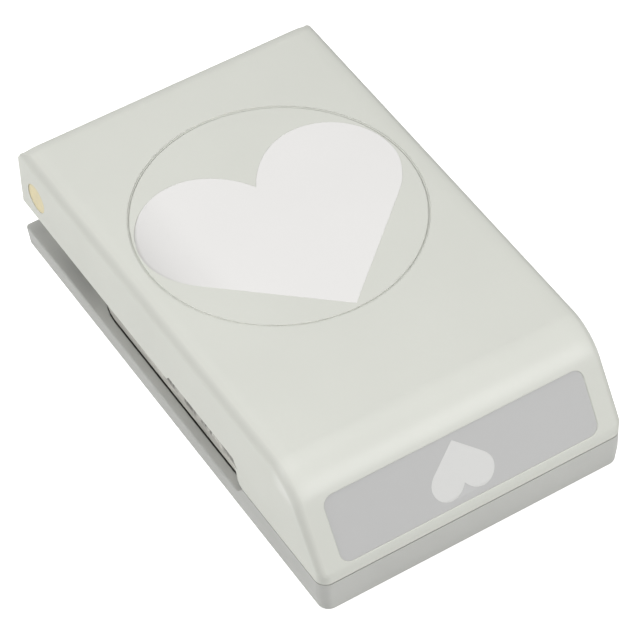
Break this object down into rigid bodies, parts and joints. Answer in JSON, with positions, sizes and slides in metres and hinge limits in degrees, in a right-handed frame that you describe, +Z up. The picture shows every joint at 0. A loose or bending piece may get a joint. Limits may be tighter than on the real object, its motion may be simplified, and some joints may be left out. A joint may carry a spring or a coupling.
{
  "type": "lever craft punch",
  "caption": "Flat hand lever craft punch with a heart cutter, a storage lock and a slot for card at both sides and the back.",
  "frame": {"origin": "centre of the base's footprint on the surface it stands on", "axes": "+Z up, +Y from the lever's pressed front end towards its hinge, +X to the right seen from the front"},
  "size_m": [0.086, 0.143, 0.0354],
  "materials": {
    "base_plastic": "mid grey moulded plastic with a fine satin grain",
    "lever_plastic": "warm pale grey moulded plastic, fine spark-eroded grain, slight sheen",
    "inlay_plastic": "smooth near-white plastic, soft gloss",
    "panel_plastic": "light grey flat plastic plate, matt",
    "panel_heart_plastic": "very pale grey flat plastic, matt",
    "tool_steel": "ground steel",
    "cast_metal": "die-cast light alloy, slightly grainy, unpolished",
    "screw_steel": "zinc-plated steel",
    "spring_steel": "drawn spring wire",
    "pin_brass": "yellow-passivated pin end, satin",
    "lock_plastic": "dark grey moulded plastic"
  },
  "bodies": {
    "base": {"base_tray": "base_plastic", "die_plate": "tool_steel", "slot_spacer_front": "tool_steel", "slot_spacer_back": "tool_steel", "guide_plate": "cast_metal", "die_screw_1": "screw_steel", "die_screw_2": "screw_steel", "die_screw_3": "screw_steel", "die_screw_4": "screw_steel", "guide_post_1": "screw_steel", "guide_post_2": "screw_steel", "guide_post_3": "screw_steel", "guide_post_4": "screw_steel", "return_spring_1": "spring_steel", "return_spring_2": "spring_steel", "return_spring_3": "spring_steel", "return_spring_4": "spring_steel"},
    "lever": {"lever_shell": "lever_plastic", "shape_disc": "lever_plastic", "heart_inlay": "inlay_plastic", "front_panel": "panel_plastic", "panel_heart": "panel_heart_plastic", "hinge_pin": "pin_brass", "pin_cap": "pin_brass", "pressure_rod": "screw_steel"},
    "punch": {"heart_punch": "tool_steel", "punch_head": "tool_steel", "punch_screw_1": "screw_steel", "punch_screw_2": "screw_steel", "punch_screw_3": "screw_steel"},
    "lock": {"lock_button": "lock_plastic", "lock_hook": "lock_plastic", "lock_screw": "screw_steel"}
  },
  "joints": [
    {"name": "lever_hinge", "type": "hinge", "parent": "base", "child": "lever", "pos_m": [0, 0.0625, 0.024], "axis": [-1, 0, 0], "range_deg": [0, 6]},
    {"name": "punch_slide", "type": "slide", "parent": "base", "child": "punch", "axis": [0, 0, 1], "range_m": [0, 0.0053], "deforming": ["return_spring_1", "return_spring_2", "return_spring_3", "return_spring_4"]},
    {"name": "lock_slide", "type": "slide", "parent": "base", "child": "lock", "axis": [0, -1, 0], "range_m": [0, 0.0032]}
  ],
  "couplings": [
    {"joint": "punch_slide", "follows": "lever_hinge", "m_per_rad": 0.0504}
  ]
}
